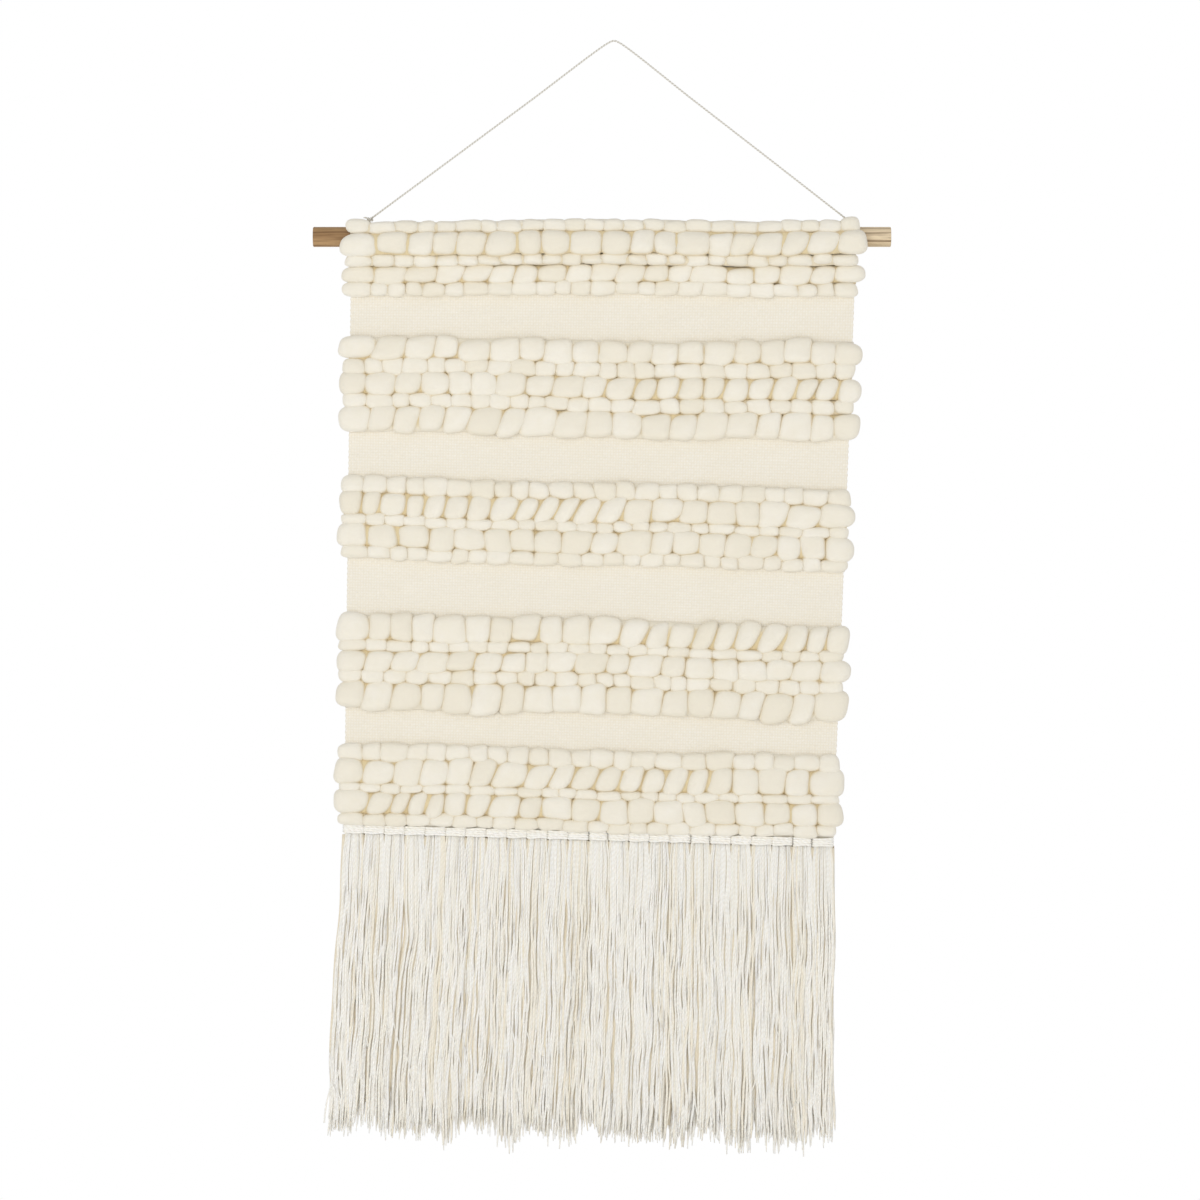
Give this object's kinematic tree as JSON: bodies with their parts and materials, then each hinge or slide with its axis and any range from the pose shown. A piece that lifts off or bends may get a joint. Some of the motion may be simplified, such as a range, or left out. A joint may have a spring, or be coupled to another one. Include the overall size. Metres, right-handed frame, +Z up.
{
  "type": "tapestry wall hanging",
  "caption": "Cream woven tapestry with bands of plump roving rows and a long tassel fringe, hung by a cord from a wooden dowel through its top pocket.",
  "frame": {"origin": "underside of the hanging cord's highest bend, the point that rests on the hook", "axes": "+Z up, the front of the weaving faces -Y, +X to the viewer's right along the dowel"},
  "size_m": [0.5774, 0.0413, 1.1072],
  "materials": {
    "dowel_wood": "matte",
    "cotton_cord": "matte",
    "roving": "matte",
    "ground_weave": "matte",
    "fringe_yarn": "matte"
  },
  "bodies": {
    "hanger": {"hanging_cord": "cotton_cord"},
    "header": {"woven_ground_1": "ground_weave", "band1_row1": "roving", "band1_row2": "roving", "band1_row3": "roving", "band1_row4": "roving", "band1_row5": "roving", "cord_tie_left": "cotton_cord", "cord_tie_right": "cotton_cord"},
    "dowel_body": {"dowel": "dowel_wood"},
    "panel_2": {"woven_ground_2": "ground_weave", "band2_row1": "roving", "band2_row2": "roving", "band2_row3": "roving", "band2_row4": "roving", "band2_row5": "roving"},
    "panel_3": {"woven_ground_3": "ground_weave", "band3_row1": "roving", "band3_row2": "roving", "band3_row3": "roving", "band3_row4": "roving", "band3_row5": "roving"},
    "panel_4": {"woven_ground_4": "ground_weave", "band4_row1": "roving", "band4_row2": "roving", "band4_row3": "roving", "band4_row4": "roving", "band4_row5": "roving"},
    "panel_5": {"woven_ground_5": "ground_weave", "band5_row1": "roving", "band5_row2": "roving", "band5_row3": "roving", "band5_row4": "roving", "band5_row5": "roving"},
    "fringe": {"tassel_01": "fringe_yarn", "tassel_02": "fringe_yarn", "tassel_03": "fringe_yarn", "tassel_04": "fringe_yarn", "tassel_05": "fringe_yarn", "tassel_06": "fringe_yarn", "tassel_07": "fringe_yarn", "tassel_08": "fringe_yarn", "tassel_09": "fringe_yarn", "tassel_10": "fringe_yarn", "tassel_11": "fringe_yarn", "tassel_12": "fringe_yarn", "tassel_13": "fringe_yarn", "tassel_14": "fringe_yarn", "tassel_15": "fringe_yarn", "tassel_16": "fringe_yarn", "tassel_17": "fringe_yarn", "tassel_18": "fringe_yarn", "tassel_19": "fringe_yarn", "tassel_20": "fringe_yarn", "tassel_21": "fringe_yarn", "tassel_22": "fringe_yarn", "tassel_23": "fringe_yarn", "tassel_24": "fringe_yarn"}
  },
  "joints": [
    {"name": "cord_swing", "type": "hinge", "parent": "hanger", "child": "header", "pos_m": [-0.00553, 0, -0.17751], "axis": [1, 0, 0], "range_deg": [-85, 85]},
    {"name": "dowel_slide", "type": "slide", "parent": "header", "child": "dowel_body", "axis": [1, 0, 0], "range_m": [-0.56, 0.56]},
    {"name": "fold_1", "type": "hinge", "parent": "header", "child": "panel_2", "pos_m": [-0.01211, 0, -0.27626], "axis": [1, 0, -0.0068], "range_deg": [-45, 45]},
    {"name": "fold_2", "type": "hinge", "parent": "panel_2", "child": "panel_3", "pos_m": [-0.01579, 0, -0.41801], "axis": [0.9997, 0, -0.0258], "range_deg": [-45, 45]},
    {"name": "fold_3", "type": "hinge", "parent": "panel_3", "child": "panel_4", "pos_m": [-0.01924, 0, -0.55101], "axis": [0.9996, 0, -0.0283], "range_deg": [-45, 45]},
    {"name": "fold_4", "type": "hinge", "parent": "panel_4", "child": "panel_5", "pos_m": [-0.02285, 0, -0.68976], "axis": [0.9996, 0, -0.0285], "range_deg": [-45, 45]},
    {"name": "fringe_swing", "type": "hinge", "parent": "panel_5", "child": "fringe", "pos_m": [-0.02552, 0, -0.79271], "axis": [0.9996, 0, -0.0286], "range_deg": [-45, 45]}
  ]
}
